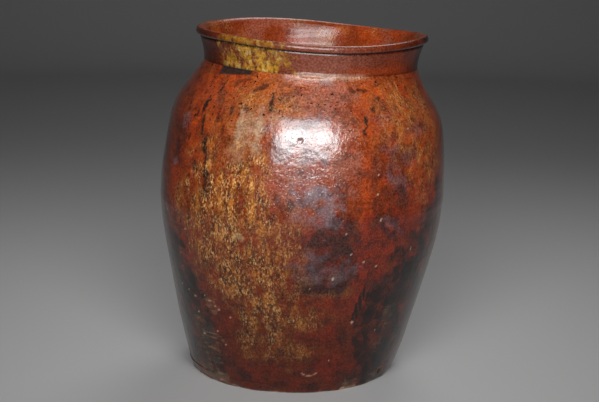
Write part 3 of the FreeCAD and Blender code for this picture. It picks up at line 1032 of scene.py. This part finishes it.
class JAR_OT_lip(bpy.types.Operator):
    """Add the rolled lip over the collar's edge"""
    bl_idname = "jar.lip"
    bl_label = "Rolled lip"

    def execute(self, context):
        sizes, colours = settings()[:2]
        hem = COLLAR_HEIGHT - LIP_HEM
        corners = np.array(LIP_SECTION)
        step = np.arange(len(corners))
        fine = np.linspace(0, len(corners) - 1, LIP_ROWS)
        up, out = (spline_through(np.stack([step, line], -1))(fine) for line in corners.T)
        # Two last rows close the lip over the collar's edge
        height = np.append(hem + up * (LIP_TOP - hem), COLLAR_HEIGHT + EDGE_HEIGHT * np.array([1, 0.5]))
        closing = [TOP_INSIDE, 0.5 * (TOP_INSIDE + COLLAR_TOP_RADIUS)]
        radius = np.append(COLLAR_TOP_RADIUS + out * (LIP_RADIUS - COLLAR_TOP_RADIUS), closing)
        turns = np.broadcast_to(turns_around(), (len(height), AROUND))
        rows = on_neck(turns, height[:, None] + rim_wave(turns), radius[:, None] + 0 * turns)
        rows = pushed(rows, outside_unevenness(rows, sizes))
        outside, inside = rows[:LIP_OUTSIDE_ROWS], rows[LIP_OUTSIDE_ROWS:]
        rise = 1.0 + 0.35 * np.clip(height[:LIP_OUTSIDE_ROWS, None] - hem, 0, None)
        paints = joined(paint_collar(outside, rise, colours), paint_inside(inside, colours))
        piece = closed_grid("jar_lip", rows, paints)
        finish_piece(piece, "rolled_lip", "fired_glaze")
        return {"FINISHED"}


# Stage, in metres and degrees

# Camera, fitted to the photograph's outline, base and rim
CAMERA_PLACE = (0.00558, -1.6248, 0.5382)
CAMERA_PITCH = 12.15
CAMERA_ROLL = 0.81
CAMERA_LENS = 88.35

# Soft box of four panels in front, whose middle is a little to the right, and a lamp behind
BOX_MIDDLE = 0.03
LOW_PANELS = (-1.76, 0.83)  # place along Y, height
HIGH_PANELS = (-1.66, 1.54)
BACK_LAMP = (0.5, 1.5, 2.2)
BACK_LAMP_SIZE = 1.2
LAMP_SPREAD = 50.0
LAMP_AIM = Vector((0.0, 0.0, 0.27))

# Floor: radius of its flat part, radius of the bend, height of the wall, points round it, roughness
FLOOR_FLAT = 2.6
FLOOR_BEND = 1.0
FLOOR_WALL = 2.4
FLOOR_AROUND = 96
FLOOR_ROUGHNESS = 0.9


def studio_floor(colour):
    """A round floor, level out to its bend, then a quarter circle up, then a low straight wall."""
    curve = np.linspace(0, math.pi / 2, 24)
    far = FLOOR_FLAT + FLOOR_BEND
    radius = np.concatenate([[0.02, 0.6, 1.6], FLOOR_FLAT + FLOOR_BEND * np.sin(curve), [far]])[:, None]
    height = np.concatenate([[0, 0, 0], FLOOR_BEND - FLOOR_BEND * np.cos(curve), [FLOOR_WALL]])[:, None]
    a = np.linspace(0, 2 * math.pi, FLOOR_AROUND, endpoint=False)
    verts = np.stack([radius * np.cos(a), radius * np.sin(a), height + 0 * a], -1)
    i, j = np.meshgrid(np.arange(len(radius) - 1) * FLOOR_AROUND, np.arange(FLOOR_AROUND), indexing="ij")
    after, above = (j + 1) % FLOOR_AROUND, i + FLOOR_AROUND
    faces = np.stack([i + after, above + after, above + j, i + j], -1).reshape(-1, 4).tolist()
    mesh = bpy.data.meshes.new("floor")
    mesh.from_pydata(verts.reshape(-1, 3), [], faces + [list(range(FLOOR_AROUND))])
    mesh.polygons.foreach_set("use_smooth", [True] * len(mesh.polygons))
    floor = bpy.data.objects.new("floor", mesh)
    bpy.context.collection.objects.link(floor)
    material = bpy.data.materials.new("pale_floor")
    material.use_nodes = True
    shader = material.node_tree.nodes["Principled BSDF"]
    shader.inputs["Base Color"].default_value = (*colour, 1.0)
    shader.inputs["Roughness"].default_value = FLOOR_ROUGHNESS
    mesh.materials.append(material)
    return floor


def soft_lamp(name, place, size, power):
    """A square lamp, turned towards the middle of the jar and unseen itself."""
    lamp = bpy.data.lights.new(name, "AREA")
    lamp.shape, lamp.size, lamp.energy = "SQUARE", size, power
    lamp.spread = math.radians(LAMP_SPREAD)
    holder = bpy.data.objects.new(name, lamp)
    holder.location = place
    holder.rotation_euler = (LAMP_AIM - Vector(place)).to_track_quat("-Z", "Y").to_euler()
    holder.visible_camera = False
    bpy.context.collection.objects.link(holder)
    return holder


def photo_camera():
    """A camera that looks along +Y, pitched down and then rolled about its own line of sight."""
    pitch, roll = math.radians(CAMERA_PITCH), math.radians(CAMERA_ROLL)
    level_right = np.array([1.0, 0, 0])
    forward = np.array([0, math.cos(pitch), -math.sin(pitch)])
    pitched_up = np.array([0, math.sin(pitch), math.cos(pitch)])
    right = math.cos(roll) * level_right + math.sin(roll) * pitched_up
    up = -math.sin(roll) * level_right + math.cos(roll) * pitched_up
    lens = bpy.data.cameras.new("camera")
    lens.sensor_width, lens.lens, lens.sensor_fit = 36.0, CAMERA_LENS, "HORIZONTAL"
    camera = bpy.data.objects.new("camera", lens)
    turned = Matrix(np.stack([right, up, -forward], 1).tolist()).to_4x4()
    camera.matrix_world = Matrix.Translation(CAMERA_PLACE) @ turned
    bpy.context.collection.objects.link(camera)
    return camera


class JAR_OT_stage(bpy.types.Operator):
    """Add the pale floor, the soft lamps, the room light and the camera"""
    bl_idname = "jar.stage"
    bl_label = "Stage"

    def execute(self, context):
        scene = context.scene
        stage = scene.jar_stage
        scene.view_settings.view_transform = "Standard"
        floor = studio_floor(stage.floor_colour)
        left, right = BOX_MIDDLE - 0.5 * stage.panel_size, BOX_MIDDLE + 0.5 * stage.panel_size
        lamps = [soft_lamp(*lamp) for lamp in (
            ("low_left_lamp", (left, *LOW_PANELS), stage.panel_size, stage.low_power),
            ("low_right_lamp", (right, *LOW_PANELS), stage.panel_size, stage.low_power),
            ("high_left_lamp", (left, *HIGH_PANELS), stage.panel_size, stage.high_power),
            ("high_right_lamp", (right, *HIGH_PANELS), stage.panel_size, stage.high_power),
            ("back_lamp", BACK_LAMP, BACK_LAMP_SIZE, stage.back_power),
        )]
        scene.world = scene.world or bpy.data.worlds.new("room")
        scene.world.use_nodes = True
        room = scene.world.node_tree.nodes["Background"]
        room.inputs["Color"].default_value = (1.0, 1.0, 1.0, 1.0)
        room.inputs["Strength"].default_value = stage.world_level
        camera = photo_camera()
        scene.camera = camera
        return {"FINISHED"}


SETTINGS = {"jar_sizes": JarSizes, "jar_paints": JarPaints, "jar_looks": JarLooks, "jar_stage": JarStage}
OPERATORS = (JAR_OT_floor, JAR_OT_walls, JAR_OT_collar, JAR_OT_lip, JAR_OT_stage)


class JAR_PT_panel(bpy.types.Panel):
    """Lists the jar's pieces and settings"""
    bl_label = "Stoneware jar"
    bl_space_type = "VIEW_3D"
    bl_region_type = "UI"
    bl_category = "Jar"

    def draw(self, context):
        for operator in OPERATORS:
            self.layout.operator(operator.bl_idname)
        for key, group in SETTINGS.items():
            for setting in group.__annotations__:
                self.layout.prop(getattr(context.scene, key), setting)


CLASSES = (*SETTINGS.values(), *OPERATORS, JAR_PT_panel)


def register():
    """Registers every class and gives the scene its settings."""
    for item in CLASSES:
        bpy.utils.register_class(item)
    for key, group in SETTINGS.items():
        setattr(bpy.types.Scene, key, bpy.props.PointerProperty(type=group))


def unregister():
    """Takes back what register does."""
    for key in SETTINGS:
        delattr(bpy.types.Scene, key)
    for item in reversed(CLASSES):
        bpy.utils.unregister_class(item)


def main():
    """Registers the add-on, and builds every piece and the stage."""
    register()
    jar = bpy.ops.jar
    for build in (jar.floor, jar.walls, jar.collar, jar.lip, jar.stage):
        build()


if __name__ == "__main__":
    main()
